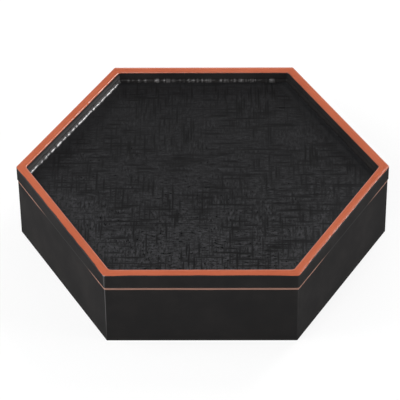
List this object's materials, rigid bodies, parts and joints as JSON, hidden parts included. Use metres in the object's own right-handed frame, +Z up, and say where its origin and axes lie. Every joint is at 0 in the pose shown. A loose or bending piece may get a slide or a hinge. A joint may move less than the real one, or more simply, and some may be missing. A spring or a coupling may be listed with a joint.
{
  "type": "shokado bento box",
  "caption": "Hexagonal wooden food box with mitred sides and a lift-off lid whose cloth-textured panel is sunk inside a raised rim.",
  "frame": {"origin": "centre of the underside, on the plane that the box stands on", "axes": "+Z up; flat sides face -Y (front) and +Y (back); two corners lie on the X axis, +X to the right seen from the front"},
  "size_m": [0.3026, 0.2624, 0.0705],
  "materials": {
    "black_lacquer": "glossy black lacquer on wood, vermilion on the mouth's edge",
    "vermilion_rimmed_lacquer": "glossy black lacquer on wood, vermilion on the rim's top",
    "cloth_lacquer": "satin black lacquer over a slubby linen cloth",
    "bare_wood": "unfinished, glued"
  },
  "bodies": {
    "box": {"side_board_front": "black_lacquer", "side_board_front_right": "black_lacquer", "side_board_back_right": "black_lacquer", "side_board_back": "black_lacquer", "side_board_back_left": "black_lacquer", "side_board_front_left": "black_lacquer", "bottom_panel": "black_lacquer", "corner_spline_front_right": "bare_wood", "corner_spline_right": "bare_wood", "corner_spline_back_right": "bare_wood", "corner_spline_back_left": "bare_wood", "corner_spline_left": "bare_wood", "corner_spline_front_left": "bare_wood"},
    "lid": {"lid_rail_front": "vermilion_rimmed_lacquer", "lid_rail_front_right": "vermilion_rimmed_lacquer", "lid_rail_back_right": "vermilion_rimmed_lacquer", "lid_rail_back": "vermilion_rimmed_lacquer", "lid_rail_back_left": "vermilion_rimmed_lacquer", "lid_rail_front_left": "vermilion_rimmed_lacquer", "lid_panel": "cloth_lacquer", "locating_strip_front": "black_lacquer", "locating_strip_front_right": "black_lacquer", "locating_strip_back_right": "black_lacquer", "locating_strip_back": "black_lacquer", "locating_strip_back_left": "black_lacquer", "locating_strip_front_left": "black_lacquer"}
  },
  "joints": [
    {"name": "lid_lift", "type": "slide", "parent": "box", "child": "lid", "axis": [0, 0, 1], "range_m": [0, 0.12]}
  ]
}
